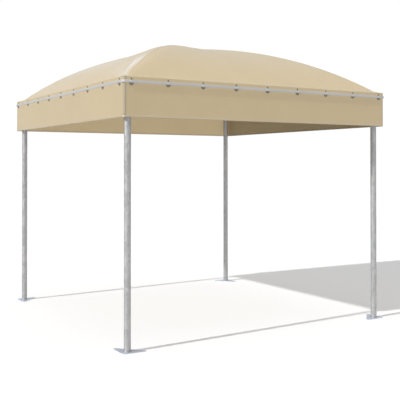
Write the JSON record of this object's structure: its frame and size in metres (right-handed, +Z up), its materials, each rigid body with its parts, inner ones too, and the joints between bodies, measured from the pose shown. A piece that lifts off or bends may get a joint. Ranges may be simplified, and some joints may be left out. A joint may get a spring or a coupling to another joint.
{
  "type": "dome gazebo",
  "caption": "Square garden gazebo with round steel posts on corner plates, a curved fabric dome roof and a straight valance held by a flat clamp bar around the eaves.",
  "frame": {"origin": "on the ground at the centre of the square plan", "axes": "+Z up, front side towards -Y, right side towards +X"},
  "size_m": [3.1866, 3.1866, 3.047],
  "materials": {
    "galvanised_steel": "hot-dip galvanised steel with a fine spangle",
    "clamp_bar_steel": "galvanised flat bar with dull clips",
    "roof_fabric": "tensioned sand-coloured coated canvas",
    "valance_fabric": "sand-coloured coated canvas with a lighter hem"
  },
  "bodies": {
    "root": {"ground_plate_front_right": "galvanised_steel", "ground_plate_back_right": "galvanised_steel", "ground_plate_back_left": "galvanised_steel", "ground_plate_front_left": "galvanised_steel", "post_front_right": "galvanised_steel", "post_back_right": "galvanised_steel", "post_back_left": "galvanised_steel", "post_front_left": "galvanised_steel", "post_head_front_right": "galvanised_steel", "post_head_back_right": "galvanised_steel", "post_head_back_left": "galvanised_steel", "post_head_front_left": "galvanised_steel", "eave_rail_front": "galvanised_steel", "eave_rail_right": "galvanised_steel", "eave_rail_back": "galvanised_steel", "eave_rail_left": "galvanised_steel", "hip_arch_front_right": "galvanised_steel", "hip_arch_back_right": "galvanised_steel", "hip_arch_back_left": "galvanised_steel", "hip_arch_front_left": "galvanised_steel", "crown_block": "galvanised_steel", "roof_gore_front": "roof_fabric", "roof_gore_right": "roof_fabric", "roof_gore_back": "roof_fabric", "roof_gore_left": "roof_fabric", "valance_front": "valance_fabric", "valance_right": "valance_fabric", "valance_back": "valance_fabric", "valance_left": "valance_fabric", "clamp_bar_front": "clamp_bar_steel", "clamp_bar_right": "clamp_bar_steel", "clamp_bar_back": "clamp_bar_steel", "clamp_bar_left": "clamp_bar_steel", "clamp_bend_front_right": "clamp_bar_steel", "clamp_bend_back_right": "clamp_bar_steel", "clamp_bend_back_left": "clamp_bar_steel", "clamp_bend_front_left": "clamp_bar_steel"}
  },
  "joints": []
}
